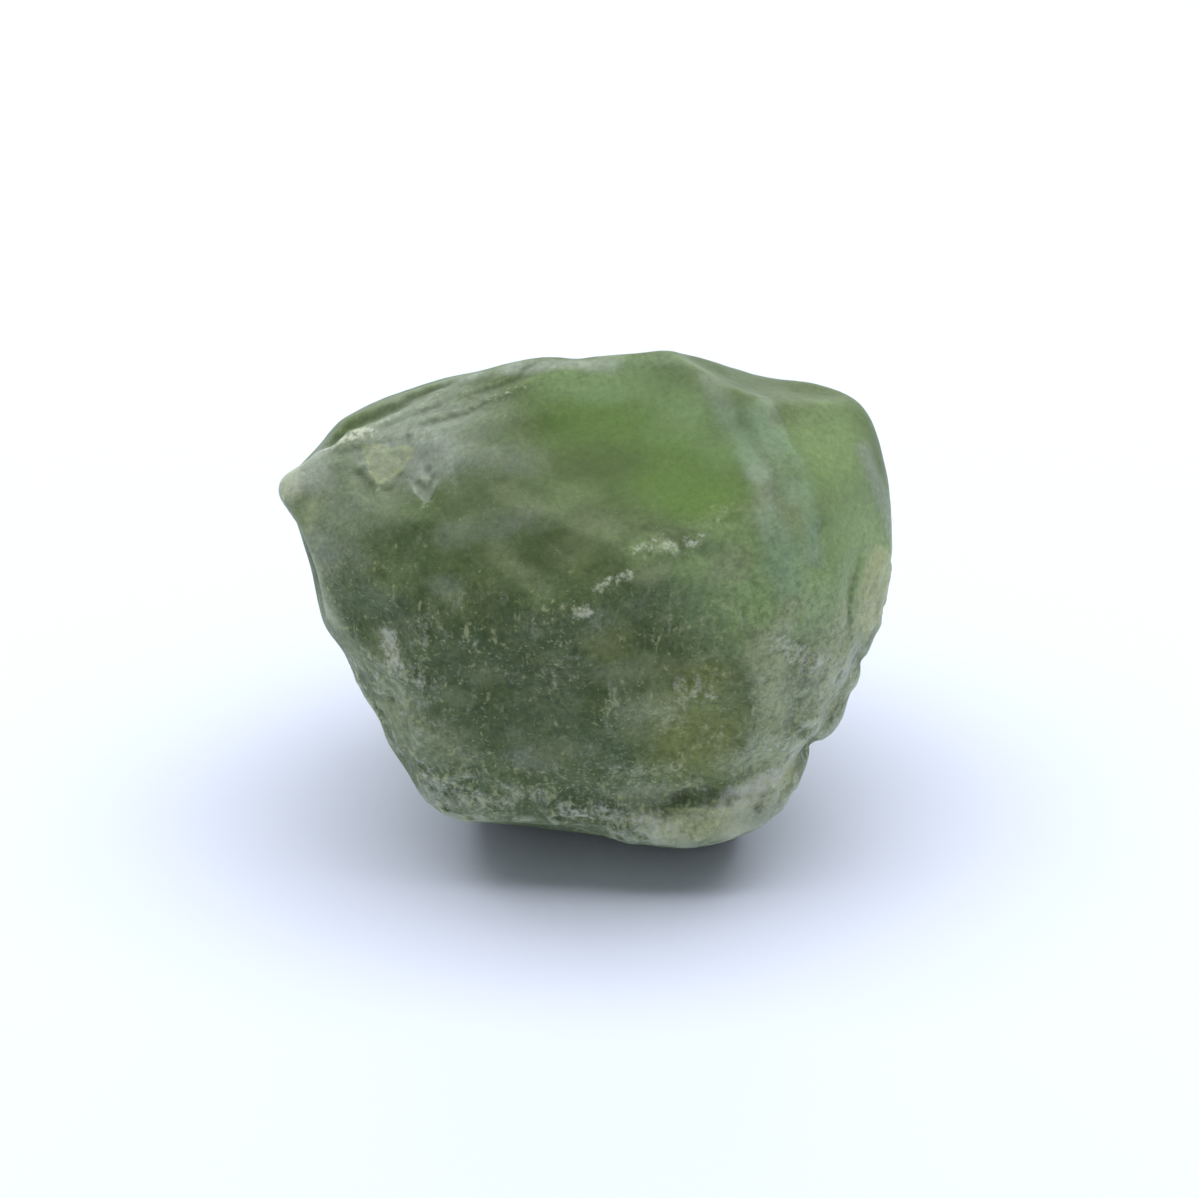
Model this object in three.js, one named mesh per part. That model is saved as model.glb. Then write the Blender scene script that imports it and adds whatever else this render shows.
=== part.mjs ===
// Raw peridot: one lump of rough olivine, broken on uneven faces and worn round at its edges.
//
// It stands on its narrow end, whose front lip overhangs the foot. It is widest two thirds of the
// way up, and its crown leans forwards with one broad shallow dish in it. Ledges step down the left
// of the crown, a blunt ridge runs down the right, and the lower right and the lip are battered.
//
// Millimetres, +Z up, +X along the longest side, +Y to the back. The origin is the middle of the
// bounding box's underside, and the stone rests on its worn foot at Z = 0.

import * as THREE from "three";
import { ConvexGeometry } from "three/addons/geometries/ConvexGeometry.js";
import { ImprovedNoise } from "three/addons/math/ImprovedNoise.js";
import { mergeVertices } from "three/addons/utils/BufferGeometryUtils.js";

const { clamp, smoothstep, seededRandom } = THREE.MathUtils;
const smoothNoise = new ImprovedNoise();
const noise = (x, y, z) => smoothNoise.noise(x, y, z);

// ---------- Driving dimensions ----------

const GRID_DETAIL = 20; // each of an icosahedron's edges is cut into this many, and one more
const FOOT_LEVEL = -2.2; // how high the foot is worn flat, in the frame of the corners below
const HEART = new THREE.Vector3(0, 0.5, 11.5); // the point inside that every part of the skin faces
const WEAR_PASSES = 2; // how far the broken edges are worn round
const LAST_WEAR_PASSES = 1; // how far the flake scars, ledges and bruises are worn
const HOLLOW_RIM = 0.22; // how wide the rounded rim of a broad hollow is, as a share of its width
const FLAKE_RIM = 0.12; // the same of a small flake
const WAVER = { share: 0.22, length: 3.2 }; // how far a scar's rim strays, as a share of its width
const SWELL = { height: 0.2, length: 5.5 }; // the gentle unevenness of the faces
const GRAIN = { height: 0.08, length: 1.7 }; // the rough feel of them

// The corners of the unworn lump. The foot's are below the level where it is worn flat.
const CORNERS = {
  crown: [
    [5.5, 3.4, 22.1], [-1.7, 3.9, 21], [-4.3, 4.6, 19.7], [-6.6, 5, 18.8], [-9.3, 4.6, 18.1],
    [-11.7, 3.3, 17.7], [8.4, 4.2, 18.9], [12.3, 4.2, 19.6], [13.2, 3.4, 18.9],
  ],
  left: [
    [-14.2, 0.6, 16.9], [-14.3, -0.8, 15.9], [-10.9, -1, 8.6], [-7.9, -3.9, 2.5],
  ],
  right: [
    [13.9, 3, 17.4], [14.5, 1.5, 15], [14.6, 0, 12.7], [14.5, -1, 10.4], [13.1, -3, 7.6],
    [12.3, -4, 6.2], [9.7, -5, 2.1], [12.3, -0.6, 18],
  ],
  brow: [
    [-0.4, -7.9, 14.8], [6.1, -5.4, 18.2], [-9.8, -1, 18], [-5.3, -1.1, 19.1], [8.7, -2.2, 19.5],
    [10.1, -4.1, 17.9], [10.6, -5.4, 15.2], [-9, -4.9, 15.6], [-5.6, -5, 17.2], [-1.1, -2.7, 19],
  ],
  front: [
    [8.9, -6.6, 12.1], [8, -7, 8.2], [-9.3, -5.2, 11.8], [-7.6, -6.2, 10.9], [-6.7, -5.9, 4.4],
    [3, -7.8, 10.1], [0.2, -7.2, 6.1],
  ],
  foot: [
    [7.4, -6.6, 1.2], [4.9, -7, 1.1], [0, -6.2, 2.4], [-6.2, -5.7, 2], [-4, 0.4, -2.7],
    [1.4, -0.2, -2.7], [4.4, -1.6, -2.7], [7.4, -1, -2.7], [6.4, 5.4, -2.7], [-1.5, 6, -2.7], [-4.6, 3, -2.7],
  ],
  back: [
    [-11.6, 5, 14.6], [-10, 8, 10], [-7, 8, 3], [-4, 12, 12.8], [5, 12.4, 11.6], [11, 8.6, 13.6],
    [10.5, 7.4, 6], [1, 11.4, 4.6], [8, 8, 16.8],
  ],
};

// What broke away: the middle of each scar on the skin, the way it faces, how deep and how wide.
// Broad hollows have soft rims, and small flakes have narrow ones.
const HOLLOWS = [
  { name: "crown dish", at: [1.4, 0, 20.1], facing: [-0.05, -0.46, 0.89], depth: 0.6, width: 9 },
  { name: "right dish", at: [5.2, -1.6, 19.6], facing: [0, -0.46, 0.89], depth: 0.35, width: 6 },
  { name: "crown pocket", at: [-0.6, -1.2, 19.2], facing: [-0.1, -0.5, 0.85], depth: 0.3, width: 4 },
  { name: "brow pocket", at: [-1.9, -5.1, 17.1], facing: [-0.1, -0.7, 0.7], depth: 0.2, width: 4 },
  { name: "right hollow", at: [3.8, -7.1, 13.6], facing: [0.1, -0.98, 0.1], depth: 0.5, width: 7 },
  { name: "left hollow", at: [-3.6, -6.9, 11], facing: [-0.14, -0.99, -0.1], depth: 0.3, width: 8.5 },
  { name: "low brow", at: [-7.2, -4.8, 16], facing: [-0.3, -0.8, 0.6], depth: 0.15, width: 5.5 },
  { name: "front flat", at: [5, -7.3, 7.6], facing: [0.1, -0.99, 0], depth: 0.5, width: 6 },
  { name: "left notch", at: [-12.3, -0.6, 12.9], facing: [-0.9, -0.3, 0], depth: 0.8, width: 5 },
  { name: "left flake", at: [-9.8, -2.2, 6], facing: [-0.9, -0.4, -0.3], depth: 0.2, width: 5 },
  { name: "crown saddle", at: [8.8, 3.8, 19.8], facing: [0.25, 0.3, 0.95], depth: 0.5, width: 6 },
  { name: "right flake", at: [13.9, -1.4, 11], facing: [0.85, -0.5, 0], depth: 0.3, width: 4.4 },
  { name: "under flake", at: [-0.6, -6.1, 1.5], facing: [-0.1, -0.6, -0.8], depth: 0.6, width: 7.6 },
  { name: "back hollow", at: [1, 11.8, 12], facing: [0, 0.98, 0.1], depth: 0.7, width: 10 },
  { name: "back flake", at: [-7.6, 9.4, 11], facing: [-0.6, 0.8, 0], depth: 0.5, width: 7.5 },
  { name: "back slope", at: [7.6, 9.4, 9.4], facing: [0.5, 0.8, -0.3], depth: 0.5, width: 8.5 },
  { name: "back crown", at: [1, 7.4, 18.2], facing: [0, 0.6, 0.8], depth: 0.5, width: 7 },
  { name: "back foot", at: [-3, 9, 4.4], facing: [-0.2, 0.8, -0.5], depth: 0.5, width: 5 },
];
const FLAKES = [
  { name: "middle chip", at: [4.8, -7.3, 10.2], facing: [0, -0.8, 0.6], depth: 0.3, width: 2 },
  { name: "left groove", at: [3.4, -6.7, 4], facing: [0, -0.95, -0.1], depth: 0.5, width: 3 },
  { name: "right groove", at: [5.6, -6.9, 4.2], facing: [0.1, -0.95, -0.1], depth: 0.6, width: 3.2 },
  { name: "side groove", at: [8, -6, 4.6], facing: [0.4, -0.85, 0], depth: 0.4, width: 2.8 },
  { name: "knob chip", at: [-12.3, 2.3, 17], facing: [-0.62, 0.32, 0.7], depth: 0.6, width: 4 },
  { name: "upper chip", at: [-9.6, -0.4, 18.1], facing: [-0.3, -0.3, 0.9], depth: 0.3, width: 2.6 },
  { name: "lower chip", at: [-7.6, -1.4, 18], facing: [-0.3, -0.4, 0.85], depth: 0.35, width: 3.2 },
  { name: "edge chip", at: [-8.8, -5, 11.6], facing: [-0.4, -0.9, 0.3], depth: 0.25, width: 2.4 },
  { name: "high notch", at: [13, -2.4, 8.8], facing: [0.8, -0.6, 0], depth: 0.4, width: 2.4 },
  { name: "middle notch", at: [12, -3.8, 6.8], facing: [0.8, -0.6, -0.2], depth: 0.4, width: 2.4 },
  { name: "low notch", at: [10.5, -4.8, 4.8], facing: [0.8, -0.6, -0.2], depth: 0.5, width: 2.8 },
];

// Ledges on the left of the crown, with their risers to the front.
const LEDGES = {
  middle: [-6.2, 2.9, 19],
  across: [-0.12, 1, 0],
  pitch: 1.7,
  rise: 0.45,
  riserShare: 0.35, // of the pitch
  spread: 8,
};

// Small chips split off the skin: many tries at random places, of which edges that stand out and
// battered parts keep the most, and sound faces few.
const CHIPS = {
  tries: 1500,
  width: [1.6, 4.2],
  depthOverWidth: 0.05,
  tilt: 0.3, // how far a chip's face may lean from the skin's, as a slope
  seed: 11,
};
const LEAST_STANDING = 0.02; // how far an edge stands out of its surroundings
const FLAT_SHARE = 0.15; // of the tries that a flat place keeps, next to an edge
const SOUND_SHARE = 0.05; // the same of a sound place, next to a battered one
const BATTERED = [
  { at: [11, -4, 6], spread: 6 },
  { at: [3, -6, 2], spread: 6 },
  { at: [-9, -3, 7], spread: 4 },
  { at: [-13, 0, 16.5], spread: 3 },
  { at: [2, 8, 3], spread: 6 },
];

// ---------- The unworn lump ----------

/** The distance from the heart to the lump's flat faces, along a unit direction. */
function lumpFaces() {
  const corners = Object.values(CORNERS)
    .flat()
    .map((corner) => new THREE.Vector3(...corner));
  const hull = new ConvexGeometry(corners).getAttribute("position");
  const faces = [];
  for (let i = 0; i < hull.count; i += 3) {
    const [a, b, c] = [0, 1, 2].map((k) => new THREE.Vector3().fromBufferAttribute(hull, i + k));
    faces.push(new THREE.Plane().setFromCoplanarPoints(a, b, c));
  }
  return (direction) => {
    let reach = Infinity;
    for (const face of faces) {
      const slope = face.normal.dot(direction);
      if (slope > 0) reach = Math.min(reach, -face.distanceToPoint(HEART) / slope);
    }
    return reach;
  };
}

/** An even net of points round the heart, drawn out to the lump's faces. */
function unwornSkin() {
  const net = new THREE.IcosahedronGeometry(1, GRID_DETAIL);
  net.deleteAttribute("normal");
  net.deleteAttribute("uv");
  const skin = mergeVertices(net, 1e-5);
  const reach = lumpFaces();
  moveEach(skin, (point) => {
    const direction = point.clone().normalize();
    return direction.multiplyScalar(reach(direction)).add(HEART);
  });
  return skin;
}

// ---------- Shaping ----------

/** Moves each vertex of a geometry to where move says. */
function moveEach(geometry, move) {
  const position = geometry.getAttribute("position");
  const point = new THREE.Vector3();
  for (let i = 0; i < position.count; i++) {
    const moved = move(point.fromBufferAttribute(position, i), i);
    position.setXYZ(i, moved.x, moved.y, moved.z);
  }
}

/** The neighbours of each vertex, as lists of vertex numbers. */
function neighboursOf(geometry) {
  const neighbours = Array.from({ length: geometry.getAttribute("position").count }, () => new Set());
  const index = geometry.index.array;
  for (let i = 0; i < index.length; i += 3) {
    for (let k = 0; k < 3; k++) {
      const [from, to] = [index[i + k], index[i + ((k + 1) % 3)]];
      neighbours[from].add(to);
      neighbours[to].add(from);
    }
  }
  return neighbours.map((set) => [...set]);
}

/** The middle of some of the points of a position attribute. */
function middleOf(position, chosen) {
  const middle = new THREE.Vector3();
  for (const i of chosen) middle.add(new THREE.Vector3().fromBufferAttribute(position, i));
  return middle.divideScalar(chosen.length);
}

/** Rounds edges and corners: each pass moves every vertex half way to the middle of its neighbours. */
function wear(geometry, passes) {
  const neighbours = neighboursOf(geometry);
  for (let pass = 0; pass < passes; pass++) {
    const before = geometry.getAttribute("position").clone();
    moveEach(geometry, (point, i) => middleOf(before, neighbours[i]).lerp(point, 0.5));
  }
}

/** Zero well below zero, the value itself well above it, and a smooth bend of a given size between. */
function softPositive(value, bend) {
  const within = clamp(value, -bend, bend) + bend;
  return within * within / (4 * bend) + Math.max(value - bend, 0);
}

/** Three independent smooth noises at a point, as a vector. */
function noiseVector(point, length) {
  const { x, y, z } = point.clone().divideScalar(length);
  return new THREE.Vector3(noise(x, y, z), noise(y + 40, z, x), noise(z, x + 80, y));
}

/** Breaks a flake off: the skin is pushed in out of a large ball, with a rounded and wavering rim. */
function breakFlake(geometry, { at, facing, depth, width }, rimShare) {
  const radius = (width * width / 4 + depth * depth) / (2 * depth);
  const outward = new THREE.Vector3(...facing).normalize();
  const centre = new THREE.Vector3(...at).addScaledVector(outward, radius - depth);
  const bend = 2 * rimShare * depth;
  moveEach(geometry, (point) => {
    const stray = noiseVector(point, WAVER.length).projectOnPlane(outward);
    const fromCentre = point.clone().sub(centre);
    const far = fromCentre.clone().addScaledVector(stray, WAVER.share * width).length();
    return fromCentre.normalize().multiplyScalar(softPositive(radius - far, bend)).add(point);
  });
}

/** Cuts ledges across a patch of the skin: flat treads with a steep riser at the front of each. */
function cutLedges(geometry, { middle, across, pitch, rise, riserShare, spread }) {
  const centre = new THREE.Vector3(...middle);
  const way = new THREE.Vector3(...across).normalize();
  moveEach(geometry, (point) => {
    const offset = point.clone().sub(centre);
    const steps = offset.dot(way) / pitch;
    const along = steps - Math.floor(steps);
    const lift = smoothstep(along, 0, riserShare) - along;
    const fade = 1 - smoothstep(offset.length(), 0.5 * spread, spread);
    return point.setZ(point.z + rise * lift * fade);
  });
}

/** How battered the skin is at a point, from 0 to 1: wholly out to half the spread, and then less. */
function battering(point) {
  const near = BATTERED.map(({ at, spread }) => {
    const distance = point.distanceTo(new THREE.Vector3(...at));
    return 1 - smoothstep(distance, 0.5 * spread, 1.25 * spread);
  });
  return Math.max(SOUND_SHARE, ...near);
}

/** Splits a chip off: within a small patch, the skin is cut back to a plane that may lean. */
function splitChip(geometry, { at, facing, depth, width }) {
  moveEach(geometry, (point) => {
    const offset = point.clone().sub(at);
    const stray = noiseVector(point, WAVER.length).multiplyScalar(WAVER.share * width);
    const far = stray.add(offset).length();
    const fade = 1 - smoothstep(far, 0.35 * width, 0.55 * width);
    const cut = softPositive(offset.dot(facing) + depth, FLAKE_RIM * depth);
    return point.addScaledVector(facing, -cut * fade);
  });
}

/** Splits small chips off all over the skin, most of them from edges and where it is battered. */
function splitChips(geometry, { tries, width, depthOverWidth, tilt, seed }) {
  geometry.computeVertexNormals();
  const normals = geometry.getAttribute("normal").clone();
  const sites = geometry.getAttribute("position").clone();
  const neighbours = neighboursOf(geometry);
  seededRandom(seed);
  for (let n = 0; n < tries; n++) {
    const i = Math.floor(seededRandom() * sites.count);
    const [chance, size] = [seededRandom(), seededRandom()];
    const lean = new THREE.Vector3(seededRandom(), seededRandom(), seededRandom()).subScalar(0.5);
    const at = new THREE.Vector3().fromBufferAttribute(sites, i);
    const normal = new THREE.Vector3().fromBufferAttribute(normals, i);
    const standing = at.clone().sub(middleOf(sites, neighbours[i])).dot(normal);
    const kept = battering(at) * (standing > LEAST_STANDING ? 1 : FLAT_SHARE);
    if (chance > kept) continue;
    const facing = normal.addScaledVector(lean, 2 * tilt).normalize();
    const across = THREE.MathUtils.lerp(...width, size * size);
    splitChip(geometry, { at, facing, depth: across * depthOverWidth, width: across });
  }
  geometry.deleteAttribute("normal");
}

/** Raises and lowers the skin by smooth noise of a given height and length. */
function unevenness(geometry, { height, length }) {
  moveEach(geometry, (point) => {
    const out = point.clone().sub(HEART).normalize();
    const rise = height * noise(point.x / length, point.y / length, point.z / length);
    return out.multiplyScalar(rise).add(point);
  });
}

function stoneGeometry() {
  const stone = unwornSkin();
  wear(stone, WEAR_PASSES);
  unevenness(stone, SWELL);
  for (const scar of HOLLOWS) breakFlake(stone, scar, HOLLOW_RIM);
  for (const scar of FLAKES) breakFlake(stone, scar, FLAKE_RIM);
  cutLedges(stone, LEDGES);
  splitChips(stone, CHIPS);
  unevenness(stone, GRAIN);
  wear(stone, LAST_WEAR_PASSES);
  moveEach(stone, (point) => point.setZ(Math.max(point.z, FOOT_LEVEL)));
  stone.computeVertexNormals();
  return stone;
}

// ---------- The part ----------

const peridot = new THREE.MeshStandardMaterial({ color: 0x66804f, roughness: 0.5, metalness: 0 });
const stone = new THREE.Mesh(stoneGeometry(), peridot);
stone.name = "peridot_stone";

// The stone is placed so that its bounding box stands on the origin.
stone.geometry.computeBoundingBox();
const middle = stone.geometry.boundingBox.getCenter(new THREE.Vector3());
stone.position.set(-middle.x, -middle.y, -FOOT_LEVEL);

const group = new THREE.Group();
group.add(stone);

export default group;
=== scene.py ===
"""A rough lump of cloudy green peridot: its fine skin, its material and the table that it stands on."""

import math
import random

import bmesh
import bpy
import numpy
from bpy.props import FloatProperty, FloatVectorProperty, IntProperty, PointerProperty
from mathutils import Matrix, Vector, kdtree, noise
from mathutils.geometry import intersect_point_line


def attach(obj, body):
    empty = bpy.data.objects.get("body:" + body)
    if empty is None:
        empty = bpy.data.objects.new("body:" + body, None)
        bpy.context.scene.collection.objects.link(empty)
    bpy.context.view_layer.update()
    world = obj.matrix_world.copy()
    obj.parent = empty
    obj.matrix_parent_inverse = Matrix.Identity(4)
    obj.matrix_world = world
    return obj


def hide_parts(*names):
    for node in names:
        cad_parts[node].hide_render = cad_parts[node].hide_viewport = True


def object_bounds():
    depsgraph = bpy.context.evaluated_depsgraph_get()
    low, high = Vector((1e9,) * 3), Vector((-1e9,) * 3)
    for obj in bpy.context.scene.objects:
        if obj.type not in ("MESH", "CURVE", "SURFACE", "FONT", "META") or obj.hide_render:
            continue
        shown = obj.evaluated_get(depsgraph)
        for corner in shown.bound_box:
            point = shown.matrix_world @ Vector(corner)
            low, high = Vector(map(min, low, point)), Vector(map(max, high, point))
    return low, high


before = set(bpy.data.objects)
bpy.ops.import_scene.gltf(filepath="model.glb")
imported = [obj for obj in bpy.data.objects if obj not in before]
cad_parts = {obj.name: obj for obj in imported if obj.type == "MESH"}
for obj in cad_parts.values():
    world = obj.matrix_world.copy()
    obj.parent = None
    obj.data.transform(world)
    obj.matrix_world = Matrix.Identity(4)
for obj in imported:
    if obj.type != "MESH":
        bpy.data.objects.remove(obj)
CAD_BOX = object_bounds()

bl_info = {
    "name": "Raw Peridot",
    "version": (1, 0, 0),
    "blender": (4, 5, 0),
    "location": "3D View > Sidebar > Peridot",
    "description": "Finishes the skin of a rough peridot and sets it on a pale table",
    "category": "Object",
}

MM = 0.001
STONE = "peridot_stone"

# How many times the skin is evened: after it is cut, and to find what stands out of its surroundings
# for the chips, for the worn grain and for whole ridges.
CUT_PASSES, CHIP_PASSES, WEAR_PASSES, RIDGE_PASSES = 8, 20, 12, 90

# Sizes of broken facets: the share of the hackle height, and how far apart they are in millimetres.
FACETS = [(1.0, 1.5), (0.35, 0.7)]

# How far the table lies below the stone, and from the middle of the solid's box to where the camera
# aims. Millimetres.
TABLE_GAP = 0.02
AIM = (0.53, -0.77, -0.26)


# ---------- Settings ----------


def length(name, description, default_mm):
    """A length that a user may change, given in millimetres and kept in metres."""
    return FloatProperty(
        name=name, description=description, default=default_mm * MM, subtype="DISTANCE", unit="LENGTH"
    )


def colour(name, description, default):
    """A colour that a user may change."""
    return FloatVectorProperty(
        name=name, description=description, default=default, size=3, subtype="COLOR", min=0.0, max=1.0
    )


def power(name, description, default):
    """A lamp's power that a user may change, in watts."""
    return FloatProperty(name=name, description=description, default=default, min=0.0, unit="POWER")


def angle(name, description, degrees):
    """An angle that a user may change, given in degrees."""
    return FloatProperty(
        name=name, description=description, default=math.radians(degrees), subtype="ANGLE"
    )


class StoneSettings(bpy.types.PropertyGroup):
    """The sizes and colours of the stone's skin."""

    cuts: IntProperty(
        name="Cuts", description="How finely each edge of the solid is cut", default=3, min=0, max=4
    )
    lump_height: length("Lump height", "Height of the soft lumps on the faces", 0.05)
    hackle_height: length("Hackle height", "Height of the small broken facets on battered skin", 0.2)
    grain_height: length("Grain height", "Height of the finest roughness in the mesh", 0.015)
    chip_tries: IntProperty(
        name="Chips", description="How many small chips are tried", default=2600, min=0
    )
    seed: IntProperty(
        name="Seed", description="Picks the places of the chips and of the noise", default=5, min=1
    )
    glow_depth: length("Glow depth", "How far light goes into the cloudy stone", 1.0)

    # The darkest green is also used to paint shade: in the grooves at the foot of the ledges, on the
    # shaded edge over the foot and down the front.
    deep_and_shade: colour("Deep green", "The darkest clear parts", (0.058, 0.09, 0.026))
    body: colour("Body green", "Most of the stone", (0.087, 0.132, 0.053))
    window: colour("Window green", "The clear crown", (0.105, 0.184, 0.041))
    glow: colour("Glow", "Where light comes through the crown", (0.19, 0.285, 0.13))
    olive: colour("Olive", "The yellowish low facet", (0.2, 0.245, 0.078))
    # This pale green also stands in for painted light on the right-hand face and the strip of the front
    # beside it.
    leaf_and_light: colour("Leaf green", "The smooth right-hand face", (0.235, 0.335, 0.15))
    bluish: colour("Bluish green", "The bands beside the crown", (0.225, 0.325, 0.21))
    mist: colour("Mist", "The pale, slightly bluish shoulder", (0.29, 0.335, 0.29))
    haze: colour("Haze", "Milky patches inside the stone", (0.31, 0.36, 0.21))
    flake: colour("Flake", "Thin yellowish flakes and the lip of the foot", (0.39, 0.43, 0.225))
    frost: colour("Frost", "Bruised and chipped skin", (0.56, 0.6, 0.5))


class StageSettings(bpy.types.PropertyGroup):
    """The table, the lights and the camera."""

    table_colour: colour("Table", "Colour of the table", (0.74, 0.8, 0.96))
    table_width: length("Table width", "Length of each side of the table", 3000)
    sky_strength: FloatProperty(
        name="Sky strength", description="Strength of the light all round", default=0.3, min=0.0
    )
    lamp_distance: length("Lamp distance", "From each lamp to the stone", 400)
    top_power: power("Top lamp power", "Power of the lamp over the stone", 2.25)
    top_lean: angle("Top lamp lean", "How far that lamp leans back from straight above", 4)
    top_width: length("Top lamp width", "Width of that lamp", 650)
    back_power: power("Back lamp power", "Power of the low lamp behind the stone", 0.58)
    back_lean: angle("Back lamp lean", "How far that lamp leans back from straight above", 70)
    back_width: length("Back lamp width", "Width of that lamp", 600)
    lamp_depth: length("Lamp depth", "Depth of each lamp", 300)
    camera_distance: length("Camera distance", "From the camera to the stone", 228.4)
    camera_elevation: angle("Camera elevation", "How far the camera looks down", 36)


# ---------- Places on the stone ----------

# All lengths among these places are in millimetres.

# Battered parts of the skin: the middle of each and how far it spreads.
BATTERED = [
    ((10.8, -6.6, 9.2), 4.6),
    ((8.6, -7.0, 5.4), 3.0),
    ((1.0, -8.6, 4.4), 4.0),
    ((-6.0, -7.8, 5.2), 3.2),
    ((-9.0, -6.8, 10.2), 3.6),
    ((-10.6, -1.4, 20.4), 1.6),
    ((-6.0, 1.0, 22.0), 1.4),
    ((3.4, -8.0, 19.6), 1.0),
    ((13.4, -3.0, 14.2), 2.6),
    ((2.0, 6.0, 5.2), 6.0),
]

# Swellings of the skin: the middle of each, how far it spreads and how high it is.
SWELLINGS = [
    ((11.0, -4.2, 7.3), 1.7, 0.45),
    ((11.8, -4.2, 9.1), 1.7, 0.22),
]

# Ledges: the line of each, the way in which the skin drops, how far it drops and how far the drop
# reaches. Shade is painted into the groove at the foot of each drop.
LEDGES = {
    "lip of the foot": (
        [(3.4, -8.5, 5.5), (4.6, -8.4, 5.7), (6.3, -8.4, 5.7), (7.2, -8.2, 6.2)],
        (0.0, 0.0, 1.0), 0.4, 1.2,
    ),
    "outer slab": (
        [
            (-12.4, -0.1, 19.5), (-11.4, 0.3, 20.1), (-9.8, 0.8, 20.8), (-8.0, 1.5, 21.3),
            (-5.0, 2.3, 22.2),
        ],
        (0.2, -1.0, 0.0), 0.28, 1.2,
    ),
    "middle slab": (
        [(-9.8, -0.5, 20.9), (-7.0, 0.3, 21.7), (-4.4, 0.9, 22.5), (-1.4, 1.8, 23.1)],
        (0.2, -1.0, 0.0), 0.16, 1.2,
    ),
    "inner slab": (
        [(-8.0, -1.2, 21.2), (-6.1, -0.6, 21.9), (-4.3, -0.3, 22.3), (-2.2, 0.3, 22.8)],
        (0.2, -1.0, 0.0), 0.12, 1.0,
    ),
    "shoulder": (
        [(-12.2, -0.4, 19.8), (-10.6, -1.2, 20.5), (-9.2, -1.4, 20.9), (-7.2, -1.8, 21.3)],
        (-0.2, -1.0, -0.3), 0.25, 1.1,
    ),
    "first wedge": (
        [(-10.2, -2.0, 20.3), (-9.3, -3.5, 19.9), (-8.3, -2.6, 20.6)], (0.0, -1.0, -0.4), 0.16, 0.8,
    ),
    "second wedge": (
        [(-8.2, -2.6, 20.6), (-7.2, -4.2, 20.3), (-6.6, -3.6, 20.7)], (0.0, -1.0, -0.4), 0.14, 0.8,
    ),
    "right flake": (
        [(12.3, -4.4, 17.2), (12.0, -5.1, 15.6), (11.9, -5.5, 14.0), (12.0, -5.4, 12.4)],
        (-0.5, -0.86, 0.0), 0.14, 1.2,
    ),
    "notch by the flake": (
        [(12.3, -5.2, 11.9), (12.8, -3.6, 10.7), (12.9, -2.0, 9.6)], (0.0, 0.0, -1.0), 0.14, 1.2,
    ),
    "low notch": ([(9.9, -6.4, 7.9), (10.2, -4.8, 6.6), (10.2, -3.2, 5.5)], (0.0, 0.0, -1.0), 0.4, 1.3),
    "right corner": (
        [(8.6, -8.0, 14.6), (9.6, -7.6, 13.2), (9.4, -7.6, 11.4)], (1.0, 0.0, 0.0), 0.16, 0.9,
    ),
}

# Rows of chips: the line of each, how many chips, how wide they are and how pale.
CHIPPED_LINES = {
    "brow": (
        [(-0.3, -9.3, 17.4), (0.8, -8.9, 18.1), (1.9, -8.6, 18.7), (2.7, -8.0, 19.4), (4.9, -7.5, 20.0)],
        8, 0.7, 0.9,
    ),
    "front of the crown": ([(4.9, -7.5, 20.0), (5.7, -7.1, 20.3), (5.7, -6.2, 20.6)], 4, 0.8, 0.7),
    "shoulder": ([(-12.0, -0.4, 19.9), (-9.4, -1.0, 21.0), (-7.6, -1.6, 21.2)], 7, 1.0, 0.8),
    "below the shoulder": ([(-10.4, -2.2, 20.2), (-8.4, -3.2, 20.2), (-6.6, -4.4, 20.3)], 5, 1.2, 0.4),
    "left edge": (
        [(-8.8, -7.3, 14.4), (-9.2, -6.8, 11.2), (-8.2, -7.6, 8.6), (-7.2, -7.9, 5.8)], 12, 1.1, 0.6,
    ),
    "middle": ([(4.0, -9.0, 12.7), (5.2, -9.0, 12.8)], 3, 1.1, 0.9),
    "right corner": ([(7.6, -8.8, 14.2), (9.6, -7.6, 11.2), (10.0, -6.6, 7.6)], 9, 1.0, 0.6),
    "lip": ([(3.0, -8.5, 4.4), (6.0, -8.5, 4.4), (9.0, -7.0, 6.4)], 8, 0.8, 0.7),
}

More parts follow.
